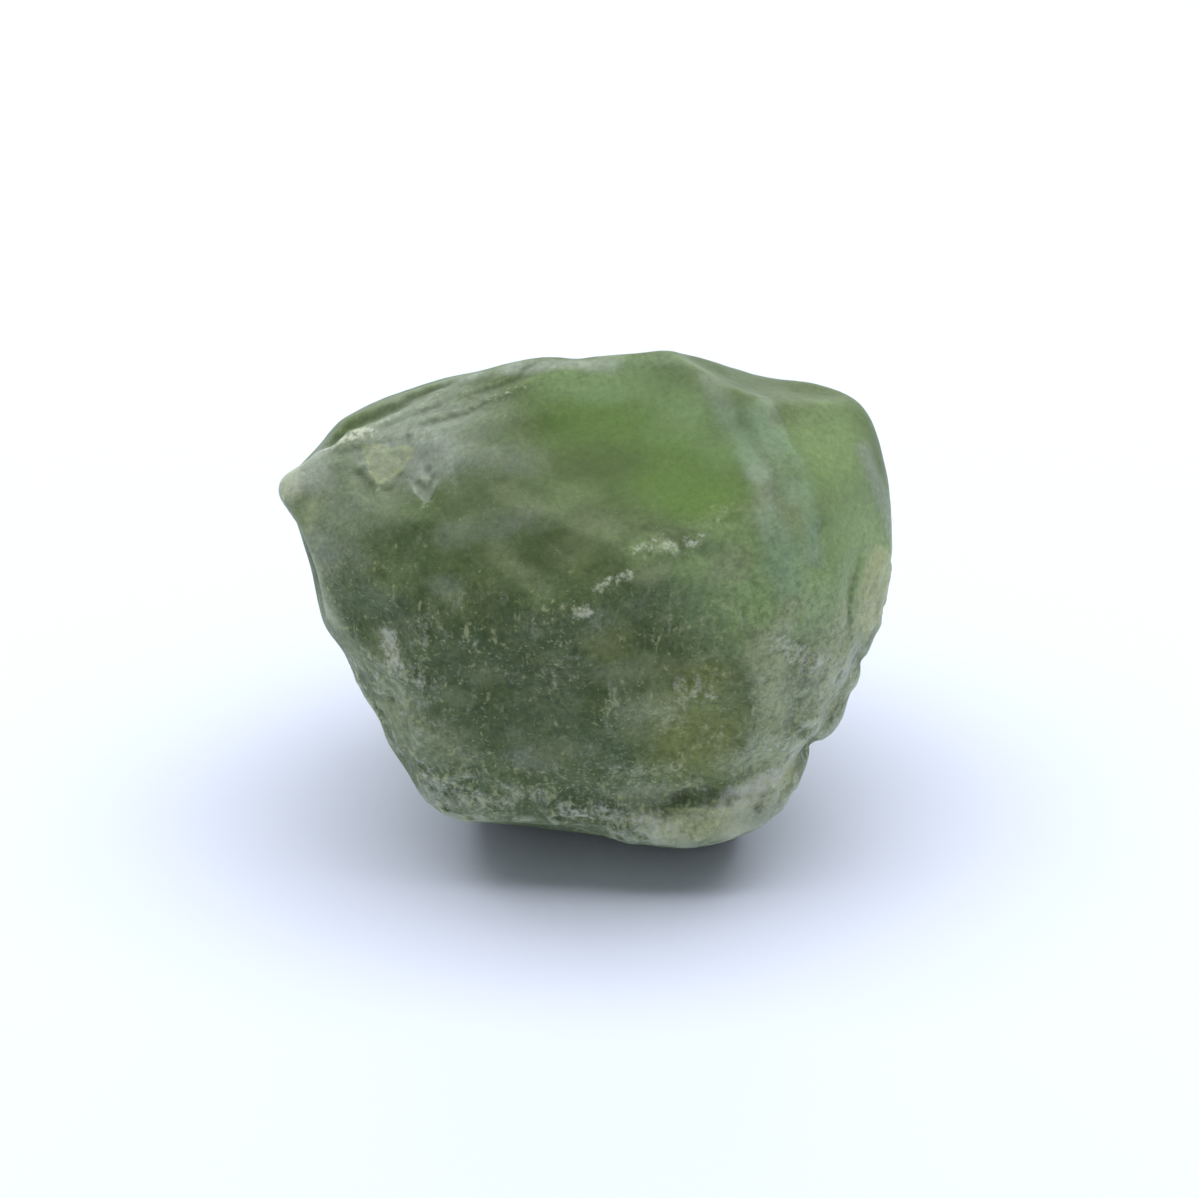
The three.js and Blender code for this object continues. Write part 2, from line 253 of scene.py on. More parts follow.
# Patches of colour: the middle, the radii, the colour and how strong it is.
ZONES = [
    # The front grows darker down to its middle: partly a deeper green, partly painted shade where less
    # light comes through from the top.
    ((-2.4, -9.1, 13.8), (7.4, 4.5, 5.2), "deep_and_shade", 0.6),
    ((3.4, -9.0, 15.2), (2.4, 3.0, 1.5), "deep_and_shade", 0.5),
    ((-1.9, -7.4, 18.9), (2.1, 1.9, 1.7), "deep_and_shade", 0.75),
    ((-4.6, -7.9, 17.6), (3.2, 2.4, 1.8), "deep_and_shade", 0.4),
    # The right-hand face is paler, and so is the strip of the front beside it: partly their own lighter
    # green, partly painted light falling from the right and through the thin edge.
    ((8.7, -7.6, 17.0), (7.2, 4.4, 4.6), "leaf_and_light", 1.0),
    ((13.0, -4.5, 16.5), (6.0, 6.0, 6.4), "leaf_and_light", 1.0),
    ((4.8, -8.1, 18.6), (2.6, 1.4, 1.3), "leaf_and_light", 0.85),
    ((6.4, -7.2, 19.8), (2.2, 1.6, 1.4), "leaf_and_light", 0.7),
    ((2.8, -8.4, 18.6), (1.4, 1.2, 0.9), "haze", 0.5),
    ((11.6, -6.2, 11.6), (4.2, 4.4, 5.0), "haze", 0.9),
    ((11.2, -2.2, 20.8), (4.4, 4.4, 2.8), "leaf_and_light", 0.8),
    # The clear crown, and the light that comes through it.
    ((0.6, -1.6, 22.0), (4.8, 4.4, 3.0), "window", 1.0),
    ((3.6, -3.6, 21.4), (5.0, 4.6, 3.0), "window", 1.0),
    ((5.4, -5.4, 20.8), (3.4, 2.8, 2.2), "window", 1.0),
    ((0.8, -3.6, 21.0), (3.4, 1.9, 1.5), "deep_and_shade", 0.5),
    ((-0.6, -5.2, 20.5), (1.8, 1.2, 0.9), "leaf_and_light", 0.25),
    ((4.0, -2.4, 21.9), (2.4, 1.6, 1.2), "glow", 0.35),
    ((4.4, -1.2, 22.6), (3.0, 2.2, 1.4), "glow", 0.8),
    ((1.0, 0.3, 22.9), (4.6, 1.8, 1.3), "glow", 0.8),
    ((6.2, -3.0, 21.8), (1.6, 2.2, 1.4), "glow", 0.35),
    # Lighter and darker clouds in the front.
    ((1.4, -9.4, 13.8), (1.4, 1.4, 1.2), "haze", 0.45),
    ((2.9, -9.3, 13.7), (1.3, 1.2, 1.0), "haze", 0.4),
    ((-1.0, -9.1, 13.8), (1.6, 1.4, 1.4), "deep_and_shade", 0.75),
    ((4.8, -9.0, 13.7), (1.2, 1.2, 0.8), "deep_and_shade", 0.4),
    ((-2.0, -9.2, 14.6), (2.0, 1.4, 1.2), "deep_and_shade", 0.7),
    ((-4.3, -8.5, 13.4), (1.4, 1.2, 1.0), "haze", 0.25),
    ((-7.4, -7.5, 15.4), (2.3, 1.6, 1.8), "deep_and_shade", 0.85),
    ((-6.2, -7.8, 17.3), (1.5, 1.2, 0.8), "mist", 0.3),
    ((-6.0, -8.3, 11.8), (1.4, 1.2, 1.0), "haze", 0.3),
    ((-2.6, -8.7, 8.6), (1.6, 1.2, 0.9), "mist", 0.35),
    ((3.0, -9.2, 10.6), (1.4, 1.4, 1.0), "haze", 0.3),
    # The left shoulder and the knob.
    ((-7.0, -1.2, 21.4), (5.0, 4.4, 2.6), "mist", 0.6),
    ((-7.4, -3.0, 20.9), (3.8, 1.8, 1.6), "mist", 0.5),
    ((-9.2, -1.6, 20.8), (3.6, 2.4, 1.8), "mist", 0.6),
    ((-3.8, -3.4, 21.2), (2.8, 1.4, 1.2), "mist", 0.35),
    ((-9.9, -5.4, 17.6), (1.8, 1.4, 1.2), "mist", 0.3),
    ((-12.4, -0.8, 19.6), (2.2, 2.0, 1.2), "mist", 0.75),
    ((-12.2, -1.8, 19.3), (2.4, 1.8, 1.1), "mist", 0.8),
    ((-11.6, -4.8, 17.4), (1.4, 1.6, 1.2), "mist", 0.5),
    ((-10.4, -3.9, 19.0), (4.2, 2.8, 2.4), "mist", 0.35),
    ((-13.6, -1.8, 19.0), (1.1, 2.4, 1.8), "frost", 0.45),
    # The olive facet low on the right.
    ((4.9, -9.0, 10.0), (3.6, 2.6, 4.8), "olive", 0.95),
    ((5.0, -9.0, 13.4), (2.8, 2.0, 1.4), "olive", 0.5),
    ((1.4, -9.4, 15.4), (1.8, 1.6, 1.6), "olive", 0.5),
    ((3.2, -9.2, 12.1), (1.9, 1.4, 1.1), "haze", 0.5),
    ((6.6, -8.8, 8.2), (1.4, 1.6, 1.8), "haze", 0.45),
    ((1.8, -9.5, 11.9), (1.6, 1.6, 1.6), "haze", 0.35),
    ((-1.6, -8.9, 9.4), (2.6, 2.0, 1.4), "haze", 0.3),
    ((2.8, -8.6, 6.4), (2.6, 2.0, 1.0), "haze", 0.5),
    ((8.9, -7.4, 6.4), (2.2, 2.2, 1.8), "flake", 0.75),
    ((6.6, -8.4, 5.6), (1.6, 1.6, 1.0), "olive", 0.6),
    ((11.9, -5.4, 11.2), (1.5, 1.6, 1.7), "mist", 0.75),
    ((6.3, -8.0, 18.6), (2.0, 1.5, 1.4), "haze", 0.55),
    ((8.8, -6.0, 20.1), (2.4, 1.8, 1.2), "haze", 0.4),
    ((2.7, -7.9, 19.5), (1.6, 1.2, 0.9), "leaf_and_light", 0.55),
    ((-0.8, -7.5, 19.2), (1.6, 1.4, 1.0), "haze", 0.15),
    ((-2.5, -6.4, 20.2), (1.6, 1.2, 1.0), "mist", 0.3),
    ((8.2, -8.3, 9.9), (1.5, 1.3, 1.2), "mist", 0.75),
    ((10.2, -7.2, 12.2), (1.8, 1.4, 1.4), "mist", 0.3),
    # The shaded edge over the foot.
    ((-0.2, -8.6, 4.6), (3.0, 1.6, 1.1), "deep_and_shade", 0.95),
    ((-6.6, -7.4, 4.6), (2.4, 1.8, 1.2), "deep_and_shade", 0.95),
    ((-8.4, -6.2, 5.6), (1.5, 1.8, 1.2), "deep_and_shade", 0.7),
    # The worn left edge.
    ((-8.6, -7.2, 10.0), (1.9, 2.2, 3.4), "haze", 0.55),
    ((-6.4, -8.0, 8.8), (2.4, 2.0, 2.0), "haze", 0.45),
    ((-9.0, -6.6, 13.6), (1.4, 1.8, 1.4), "haze", 0.5),
]

# Bands of colour: both ends, how far each reaches, the colour and how strong it is.
BANDS = [
    # The soft diagonal ridges on the left of the front.
    ((-3.6, -5.2, 20.6), (1.0, -7.2, 19.8), 1.0, "haze", 0.16),
    ((-6.2, -6.6, 19.2), (-3.6, -6.4, 19.9), 1.0, "mist", 0.25),
    ((-4.0, -7.2, 18.9), (0.8, -9.3, 15.6), 0.9, "haze", 0.2),
    # Light through the thin top edge.
    ((-3.4, 1.6, 23.0), (1.0, 1.2, 23.5), 0.8, "mist", 0.7),
    ((1.0, 1.2, 23.5), (5.0, 0.7, 23.8), 0.6, "bluish", 0.35),
    ((-8.2, 1.4, 21.7), (-3.4, 1.6, 23.0), 0.6, "mist", 0.7),
    # Two pale lines down the right of the crown, with a darker band between.
    ((7.6, -1.6, 22.5), (9.0, -5.0, 20.6), 1.0, "bluish", 0.6),
    ((5.4, 0.0, 23.4), (6.3, -2.0, 22.5), 0.8, "mist", 0.35),
    ((6.3, -2.0, 22.5), (7.7, -4.5, 21.3), 0.8, "bluish", 0.7),
    ((7.7, -4.5, 21.3), (8.2, -6.4, 20.0), 1.0, "mist", 0.35),
    ((8.2, -6.4, 20.0), (9.0, -7.4, 17.4), 1.2, "bluish", 0.7),
    ((9.6, -4.6, 20.4), (9.9, -6.6, 18.2), 0.9, "bluish", 0.7),
    ((7.4, -0.4, 22.9), (8.8, -2.5, 21.8), 0.6, "mist", 0.2),
    ((8.8, -2.5, 21.8), (9.8, -4.9, 20.3), 0.5, "bluish", 0.6),
    ((12.6, -1.2, 20.0), (13.7, -1.6, 16.4), 0.9, "mist", 0.5),
    # The pale edge down the front.
    ((9.2, -7.5, 16.4), (8.1, -8.6, 14.6), 1.0, "haze", 0.75),
    ((8.1, -8.6, 14.6), (8.2, -7.9, 8.0), 1.5, "haze", 0.9),
    # The left edge.
    ((-11.9, -3.4, 17.8), (-11.3, -5.4, 14.4), 1.3, "haze", 0.9),
    ((-10.8, -5.6, 14.0), (-9.8, -6.4, 12.0), 1.0, "haze", 0.35),
    # The lip: partly its own pale frost, partly painted light that comes through the thin lip.
    ((3.8, -8.6, 4.3), (6.6, -8.4, 4.4), 1.2, "flake", 0.8),
    ((4.2, -8.5, 4.9), (5.4, -8.4, 5.2), 0.7, "frost", 0.4),
    ((2.8, -8.6, 4.9), (3.2, -8.6, 4.6), 1.0, "frost", 0.55),
    ((6.3, -8.4, 5.6), (8.1, -7.8, 6.3), 0.9, "frost", 0.85),
    ((8.1, -7.8, 6.3), (9.2, -7.0, 7.4), 0.8, "frost", 0.5),
]

# The clear crown, the calm right-hand face and the lined left shoulder: the middle and radii of each.
CLEAR_CROWN = ((3.2, -2.8, 21.8), (6.4, 5.0, 3.4))
CALM_FACE = ((12.6, -2.0, 18.4), (5.0, 7.0, 6.4))
LINED_SHOULDER = ((-7.0, 0.2, 21.6), (6.4, 3.6, 2.8))

# The thin flake on the right: its middle and radii.
RIGHT_FLAKE = ((14.2, -4.6, 14.4), (2.3, 2.6, 3.2))

# Thin pale wedges on the shoulder and the lip: the corners of each, clockwise as seen from outside, its
# colour, how strong that is inside and how strong it is at the rim.
WEDGES = [
    ((-10.0, -1.3, 20.4), (-7.6, -2.3, 21.0), (-9.3, -3.5, 19.8), "haze", 0.45, 1.1),
    ((-8.2, -3.3, 20.5), (-6.2, -3.6, 20.9), (-7.2, -4.9, 20.0), "mist", 0.35, 0.7),
    ((-7.0, -1.4, 21.4), (-5.8, -2.0, 21.4), (-5.9, -4.4, 20.5), "mist", 0.3, 0.5),
    ((3.7, -8.5, 5.4), (6.5, -8.4, 5.3), (5.0, -8.6, 3.7), "flake", 0.3, 1.0),
]

# Pale bruises: both ends of each, how far it reaches and how strong it is.
BRUISES = [
    # On the brow.
    ((-0.4, -9.4, 17.3), (0.0, -9.4, 17.2), 0.6, 1.0),
    ((0.6, -8.9, 18.1), (1.8, -8.6, 18.7), 0.5, 0.95),
    ((2.2, -8.0, 19.5), (4.7, -7.8, 19.8), 0.8, 0.75),
    ((4.8, -7.7, 19.8), (5.6, -6.8, 20.2), 0.45, 0.8),
    # On the shoulder.
    ((-12.1, -0.4, 19.8), (-9.9, -0.7, 20.9), 0.8, 1.0),
    ((-9.9, -0.7, 20.9), (-7.9, 0.2, 21.4), 0.6, 0.6),
    ((-7.9, 0.2, 21.4), (-6.1, 1.4, 22.2), 0.5, 0.55),
    ((-4.4, -0.3, 22.4), (-2.8, 0.0, 22.8), 0.5, 0.55),
    ((-13.7, -1.0, 19.2), (-13.4, -2.8, 18.2), 0.9, 0.55),
    ((-12.8, -3.2, 17.8), (-12.0, -4.2, 16.0), 0.6, 0.45),
    ((-8.4, -3.4, 20.4), (-7.0, -5.2, 19.9), 0.6, 0.5),
    # Below the middle, on the left edge and on the right corner.
    ((4.1, -9.0, 12.5), (5.5, -9.0, 12.6), 0.7, 0.85),
    ((-8.9, -7.2, 14.2), (-8.4, -7.5, 12.8), 1.1, 1.0),
    ((-7.1, -8.0, 14.8), (-7.4, -8.0, 12.2), 0.6, 0.7),
    ((8.4, -8.2, 14.8), (10.4, -7.2, 12.6), 1.2, 0.8),
    ((8.0, -8.0, 9.4), (9.4, -7.4, 8.2), 1.2, 0.8),
    ((-7.6, -7.6, 7.0), (-4.0, -8.4, 5.6), 1.2, 0.7),
    ((-3.6, -8.6, 6.8), (-2.0, -8.8, 6.4), 0.9, 0.6),
    ((-1.0, -8.6, 5.6), (3.4, -8.4, 4.9), 0.9, 0.85),
    ((6.4, -8.3, 5.8), (8.8, -7.4, 6.9), 1.0, 0.9),
]


# ---------- The skin ----------


def smoothstep(low, high, value):
    """0 below low, 1 above high and an even bend between."""
    part = min(max((value - low) / (high - low), 0.0), 1.0)
    return part * part * (3 - 2 * part)


def battering(point):
    """How battered the skin is at a point in millimetres, from 0 to 1."""
    wavy = point + 1.6 * noise.noise_vector(point / 2.2)
    return max(
        1 - smoothstep(0.5 * spread, 1.25 * spread, (wavy - Vector(middle)).length)
        for middle, spread in BATTERED
    )


class Skin:
    """The stone's skin while it is worked on. Its methods take and give millimetres."""

    def __init__(self, node, cuts):
        self.mesh = bmesh.new()
        self.mesh.from_mesh(node.data)
        bmesh.ops.remove_doubles(self.mesh, verts=self.mesh.verts, dist=0.001 * MM)
        bmesh.ops.subdivide_edges(self.mesh, edges=self.mesh.edges, cuts=cuts, use_grid_fill=True)
        floats = self.mesh.verts.layers.float
        for name in ("battered", "fresh", "crease_shade", "standing", "ridge"):
            floats.new(name)
        self.layers = {name: floats[name] for name in floats.keys()}
        self.smooth(CUT_PASSES)
        for vertex in self.mesh.verts:
            vertex[self.layers["battered"]] = battering(vertex.co / MM)

    def smooth(self, passes):
        """Evens the skin out."""
        for _ in range(passes):
            bmesh.ops.smooth_vert(
                self.mesh, verts=self.mesh.verts, factor=0.5,
                use_axis_x=True, use_axis_y=True, use_axis_z=True,
            )

    def measure(self, name, passes):
        """Keeps how far each vertex stands out of its evened surroundings, as an attribute."""
        rough = [vertex.co.copy() for vertex in self.mesh.verts]
        self.mesh.normal_update()
        normals = [vertex.normal.copy() for vertex in self.mesh.verts]
        self.smooth(passes)
        for vertex, place, normal in zip(self.mesh.verts, rough, normals):
            vertex[self.layers[name]] = (place - vertex.co).dot(normal) / MM
            vertex.co = place

    def mark(self, vertex, name, amount):
        """Raises one of a vertex's attributes."""
        vertex[self.layers[name]] = max(vertex[self.layers[name]], amount)

    def raise_by(self, height_at):
        """Moves each vertex along its normal by height_at, a function of a point and its battering."""
        self.mesh.normal_update()
        for vertex in self.mesh.verts:
            height = height_at(vertex.co / MM, vertex[self.layers["battered"]])
            vertex.co += vertex.normal * (height * MM)

    def swell(self, middle, spread, height):
        """Raises the skin around a point."""
        self.mesh.normal_update()
        for vertex in self.mesh.verts:
            far = (vertex.co / MM - Vector(middle)).length
            vertex.co += vertex.normal * (height * (1 - smoothstep(0.2 * spread, spread, far)) * MM)

    def break_facets(self, height, pitch):
        """Breaks battered skin into small leaning facets, some of them paler."""
        self.mesh.normal_update()
        for vertex in self.mesh.verts:
            battered = vertex[self.layers["battered"]]
            if not battered:
                continue
            here = vertex.co / MM / pitch
            _, middles = noise.voronoi(here + 0.25 * noise.noise_vector(here * 1.7))
            lean = noise.noise_vector(middles[0] * 7.3)
            vertex.co += vertex.normal * (battered * height * lean.dot(here - middles[0]) * MM)
            self.mark(vertex, "fresh", battered * smoothstep(0.15, 0.5, lean.x) * 0.5)

    def cut_ledge(self, path, side, depth, reach):
        """Drops the skin on one side of a line. The drop is sharp at the line and fades away from it.
        Shade is painted into the groove at its foot.
        """
        self.mesh.normal_update()
        points = [Vector(point) for point in path]
        middle = sum(points, Vector()) / len(points)
        far = max((point - middle).length for point in points) + reach
        for vertex in self.mesh.verts:
            now = vertex.co / MM
            if (now - middle).length > far:
                continue
            offset, across, along = nearest_on(points, now, Vector(side))
            if offset > reach:
                continue
            across += 0.18 * noise.noise(now / 0.5) + 0.5 * noise.noise(now / 1.9)
            strength = smoothstep(0.0, 0.2, along) * (1 - smoothstep(0.8, 1.0, along))
            strength *= 0.35 + 0.65 * smoothstep(-0.25, 0.15, noise.noise(now / 1.3 + Vector(side)))
            drop = smoothstep(-0.05, 0.15, across) * (1 - smoothstep(0.3 * reach, reach, across))
            vertex.co -= vertex.normal * (depth * strength * drop * MM)
            rim = smoothstep(-0.4, -0.1, across) * (1 - smoothstep(-0.05, 0.05, across))
            # Painted shade in the groove at the foot of the drop.
            foot = smoothstep(0.0, 0.1, across) * (1 - smoothstep(0.12, 0.4, across))
            self.mark(vertex, "fresh", 0.45 * strength * rim)
            self.mark(vertex, "crease_shade", 0.8 * strength * foot)

    def find_near(self):
        """A tree that finds the vertices near a point."""
        tree = kdtree.KDTree(len(self.mesh.verts))
        for vertex in self.mesh.verts:
            tree.insert(vertex.co / MM, vertex.index)
        tree.balance()
        return tree

    def split_chip(self, tree, site, lean, width, pale):
        """Splits a chip off: a small patch around a vertex is cut back to a leaning plane."""
        middle, outward = site.co / MM, (site.normal + 0.35 * lean).normalized()
        shape = Vector((1 + 0.7 * abs(lean.x), 1, 1 + 0.7 * abs(lean.z)))
        depth = (0.015 + 0.035 * smoothstep(0.0, 0.05, site[self.layers["standing"]])) * width
        for _, index, _ in tree.find_range(middle, 0.8 * width):
            vertex = self.mesh.verts[index]
            offset = vertex.co / MM - middle
            stray = 0.28 * width * noise.noise_vector(vertex.co / MM / 0.6)
            far = ((offset + stray) * shape).length
            fade = 1 - smoothstep(0.3 * width, 0.5 * width, far)
            cut = max(offset.dot(outward) + depth, 0.0) * fade
            vertex.co -= outward * (cut * MM)
            self.mark(vertex, "fresh", pale * fade * smoothstep(0.0, 0.4 * depth, cut))

    def split_chips(self, tries, seed):
        """Splits chips off along the chipped lines, and small ones at random on battered skin."""
        draw = random.Random(seed)
        self.measure("standing", CHIP_PASSES)
        self.mesh.normal_update()
        self.mesh.verts.ensure_lookup_table()
        tree = self.find_near()
        for path, count, width, pale in CHIPPED_LINES.values():
            points = [Vector(point) for point in path]
            for _ in range(count):
                part = draw.uniform(0, len(points) - 1.001)
                place = points[int(part)].lerp(points[int(part) + 1], part % 1)
                place += 0.35 * width * any_way(draw)
                site = self.mesh.verts[tree.find(place)[1]]
                lean = any_way(draw)
                size, shade = width * draw.uniform(0.5, 1.3), pale * draw.uniform(0.5, 1)
                self.split_chip(tree, site, lean, size, shade)
        for _ in range(tries):
            site = self.mesh.verts[draw.randrange(len(self.mesh.verts))]
            chance, size, pale = draw.random(), draw.random(), draw.random()
            lean = any_way(draw)
            standing = smoothstep(0.0, 0.05, site[self.layers["standing"]])
            if chance < (0.03 + site[self.layers["battered"]]) * standing:
                self.split_chip(tree, site, lean, 0.5 + 1.2 * size**2.2, 0.5 * pale**4)

    def stand_flat(self):
        """Flattens what would reach below the table."""
        for vertex in self.mesh.verts:
            vertex.co.z = max(vertex.co.z, 0.0)

    def finished(self, name):
        """The skin as a mesh, smooth-shaded."""
        mesh = bpy.data.meshes.new(name)
        self.mesh.to_mesh(mesh)
        self.mesh.free()
        for polygon in mesh.polygons:
            polygon.use_smooth = True
        return mesh


def any_way(draw):
    """A random vector that reaches up to 1 each way."""
    return Vector((draw.uniform(-1, 1), draw.uniform(-1, 1), draw.uniform(-1, 1)))


def nearest_on(points, place, side):
    """From a line of points: how far off a place is, how far across to one side, and how far along."""
    best = None
    for number, (start, end) in enumerate(zip(points, points[1:])):
        _, part = intersect_point_line(place, start, end)
        part = min(max(part, 0.0), 1.0)
        offset = place - start.lerp(end, part)
        if best is None or offset.length < best[0]:
            tangent = (end - start).normalized()
            across = (side - tangent * side.dot(tangent)).normalized()
            best = (offset.length, offset.dot(across), (number + part) / (len(points) - 1))
    return best


def stone_mesh(settings):
    """The finished skin of the stone."""
    lump, grain = settings.lump_height / MM, settings.grain_height / MM
    hackle = settings.hackle_height / MM

    def lumps(point, battered):
        return lump * noise.fractal(point / 2.6, 1.0, 2.0, 3)

    def grains(point, battered):
        return grain * (0.5 + battered) * noise.fractal(point / 0.5, 0.8, 2.0, 3)

    skin = Skin(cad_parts[STONE], settings.cuts)
    skin.raise_by(lumps)
    for swelling in SWELLINGS:
        skin.swell(*swelling)
    for ledge in LEDGES.values():
        skin.cut_ledge(*ledge)
    for share, pitch in FACETS:
        skin.break_facets(share * hackle, pitch)
    skin.split_chips(settings.chip_tries, settings.seed)
    skin.raise_by(grains)
    skin.smooth(1)
    skin.measure("standing", WEAR_PASSES)
    skin.measure("ridge", RIDGE_PASSES)
    skin.stand_flat()
    return skin.finished(STONE + "_skin")


# ---------- Colours kept on the skin ----------


def even(values, zero, one):
    """0 where a value is at zero, 1 where it is at one, and an even bend between."""
    part = numpy.clip((values - zero) / (one - zero), 0.0, 1.0)
    return part * part * (3 - 2 * part)


def near_middle(places, middle, radii, hard):
    """1 in an ellipsoid, as far as the hard part of its radius, falling evenly to 0 at its skin."""
    return even(numpy.linalg.norm((places - middle) / radii, axis=1), 1.0, hard)


def near_line(places, start, end, reach, hard):
    """1 near a straight line, up to the hard part of its reach, and falling evenly to 0 at its reach."""
    start, whole = numpy.array(start), numpy.subtract(end, start)
    along = numpy.clip((places - start) @ whole / (whole @ whole), 0.0, 1.0)
    return even(numpy.linalg.norm(places - start - along[:, None] * whole, axis=1), reach, hard * reach)


def strayed(place, pitch, far):
    """A place moved by smooth noise."""
    return place + far * noise.noise_vector(place / pitch)


def keep(mesh, name, values):
    """Keeps a number for each vertex, as an attribute."""
    mesh.attributes.new(name, "FLOAT", "POINT").data.foreach_set("value", values)


def paint(mesh, settings):
    """Keeps the patches of colour on the skin, and where it is clear, lined or bruised."""
    places = [vertex.co / MM for vertex in mesh.vertices]
    wavy = numpy.array([strayed(strayed(place, 3.0, 0.45), 0.9, 0.2) for place in places])
    broken = numpy.array([strayed(place, 0.8, 0.16) for place in places])

    masks = [
        (near_middle(wavy, middle, radii, 0.2) * strength, tint)
        for middle, radii, tint, strength in ZONES
    ]
    masks += [
        (near_line(wavy, start, end, reach, 0.2) * strength, tint)
        for start, end, reach, tint, strength in BANDS
    ]
    tinted = numpy.zeros((len(places), 4))
    bare = numpy.ones(len(places))
    for mask, tint in masks:
        tinted = tinted * (1 - mask)[:, None] + numpy.outer(mask, (*getattr(settings, tint), 1.0))
        bare *= 1 - mask
    mesh.attributes.new("tinted", "FLOAT_COLOR", "POINT").data.foreach_set("color", tinted.ravel())
    keep(mesh, "bare", bare)

    clear = near_middle(wavy, *CLEAR_CROWN, 0.6)
    calm = near_middle(wavy, *CALM_FACE, 0.6)
    keep(mesh, "milky", 1 - numpy.maximum(clear * 0.75, calm * 0.6))
    keep(mesh, "lined", near_middle(wavy, *LINED_SHOULDER, 0.4))
    bruises = [
        near_line(broken, start, end, reach, 0.1) * strength for start, end, reach, strength in BRUISES
    ]
    keep(mesh, "bruised", numpy.max(bruises, axis=0))


# ---------- Shader building ----------


class Wire:
    """A number, vector or colour in a shader. Arithmetic on a number adds Math nodes."""

    def __init__(self, shader, socket):
        self.shader = shader
        self.socket = socket

    def __add__(self, other):
        return self.shader.maths("ADD", self, other)

    def __radd__(self, other):
        return self.shader.maths("ADD", other, self)

    def __sub__(self, other):
        return self.shader.maths("SUBTRACT", self, other)

    def __rsub__(self, other):
        return self.shader.maths("SUBTRACT", other, self)

    def __mul__(self, other):
        return self.shader.maths("MULTIPLY", self, other)

    def __rmul__(self, other):
        return self.shader.maths("MULTIPLY", other, self)


class Shader:
    """Builds one material's nodes."""

    def __init__(self, name):
        self.material = bpy.data.materials.new(name)
        self.material.use_nodes = True
        self.tree = self.material.node_tree
        self.tree.nodes.clear()

    def node(self, kind, settings=None, inputs=None, output=0):
        """Adds a node, sets it, fills or links its sockets, and gives one of its outputs."""
        node = self.tree.nodes.new("ShaderNode" + kind)
        for name, value in (settings or {}).items():
            setattr(node, name, value)
        for name, value in (inputs or {}).items():
            if isinstance(value, Wire):
                self.tree.links.new(value.socket, node.inputs[name])
            else:
                node.inputs[name].default_value = value
        return Wire(self, node.outputs[output]) if len(node.outputs) else None

    def maths(self, operation, *values):
        """A Math node on numbers."""
        return self.node("Math", {"operation": operation}, dict(enumerate(values)))

    def vector(self, operation, *values):
        """A Vector Math node on vectors."""
        return self.node("VectorMath", {"operation": operation}, dict(enumerate(values)))

    def blend(self, amount, first, second):
        """Colour first turning to colour second as amount goes from 0 to 1."""
        settings = {"data_type": "RGBA", "clamp_factor": True}
        colours = [value if isinstance(value, Wire) else (*value, 1.0) for value in (first, second)]
        return self.node("Mix", settings, {0: amount, 6: colours[0], 7: colours[1]}, 2)

    def ramp(self, value, low, high):
        """0 where value is at low, 1 where it is at high, even between. Either may be the higher."""
        settings = {"interpolation_type": "SMOOTHSTEP", "clamp": True}
        if low < high:
            return self.node("MapRange", settings, {0: value, 1: low, 2: high, 3: 0.0, 4: 1.0})
        return self.node("MapRange", settings, {0: value, 1: high, 2: low, 3: 1.0, 4: 0.0})

    def noise(self, place, pitch, detail=3.0, roughness=0.5, distortion=0.0, colour=False):
        """Smooth noise whose lumps are about pitch apart, from 0 to 1."""
        inputs = {
            "Vector": place, "Scale": 1 / pitch, "Detail": detail, "Roughness": roughness,
            "Distortion": distortion,
        }
        return self.node("TexNoise", {"noise_dimensions": "3D"}, inputs, 1 if colour else 0)

    def cells(self, place, pitch):
        """A number from 0 to 1 for each cell of cells about pitch apart."""
        inputs = {"Vector": place, "Scale": 1 / pitch}
        return self.node("TexVoronoi", inputs=inputs, output="Color") + 0.0

    def within(self, place, first, second, third):
        """How far a place is inside a three-cornered patch. The corners run clockwise, from outside."""
        corners = [Vector(first), Vector(second), Vector(third)]
        outward = (corners[2] - corners[0]).cross(corners[1] - corners[0]).normalized()
        nearest = None
        for start, end in zip(corners, corners[1:] + corners[:1]):
            inward = (end - start).cross(outward).normalized()
            offset = self.vector("SUBTRACT", place, start)
            inputs = {0: offset, 1: inward}
            depth = self.node("VectorMath", {"operation": "DOT_PRODUCT"}, inputs, "Value")
            nearest = depth if nearest is None else self.maths("MINIMUM", nearest, depth)
        return nearest

    def scale(self, vector, factor):
        """A vector times a number."""
        return self.node("VectorMath", {"operation": "SCALE"}, {0: vector, "Scale": factor})

    def turn(self, place, angles):
        """A place turned about the origin, by angles in radians."""
        inputs = {"Vector": place, "Rotation": angles}
        return self.node("VectorRotate", {"rotation_type": "EULER_XYZ"}, inputs)

    def stray(self, place, pitch, far):
        """A place moved by smooth noise."""
        spread = self.noise(place, pitch, 2.0, colour=True)
        offset = self.vector("SUBTRACT", spread, (0.5, 0.5, 0.5))
        return self.vector("ADD", place, self.scale(offset, 2 * far))

    def height(self, place):
        """The Z of a place."""
        return self.node("SeparateXYZ", inputs={0: place}, output=2)

    def attribute(self, name):
        """A number kept on the piece's vertices."""
        return self.node("Attribute", {"attribute_name": name}, output="Fac")

    def most(self, *values):
        """The largest of several numbers."""
        largest = values[0]
        for value in values[1:]:
            largest = self.maths("MAXIMUM", largest, value)
        return largest

    def near(self, place, middle, radii, hard):
        """1 in an ellipsoid, as far as the hard part of its radius, falling evenly to 0 at its skin."""
        offset = self.vector("SUBTRACT", place, middle)
        scaled = self.vector("MULTIPLY", offset, [1 / radius for radius in radii])
        far = self.node("VectorMath", {"operation": "LENGTH"}, {0: scaled}, "Value")
        return self.ramp(far, 1.0, hard)


# ---------- The material ----------


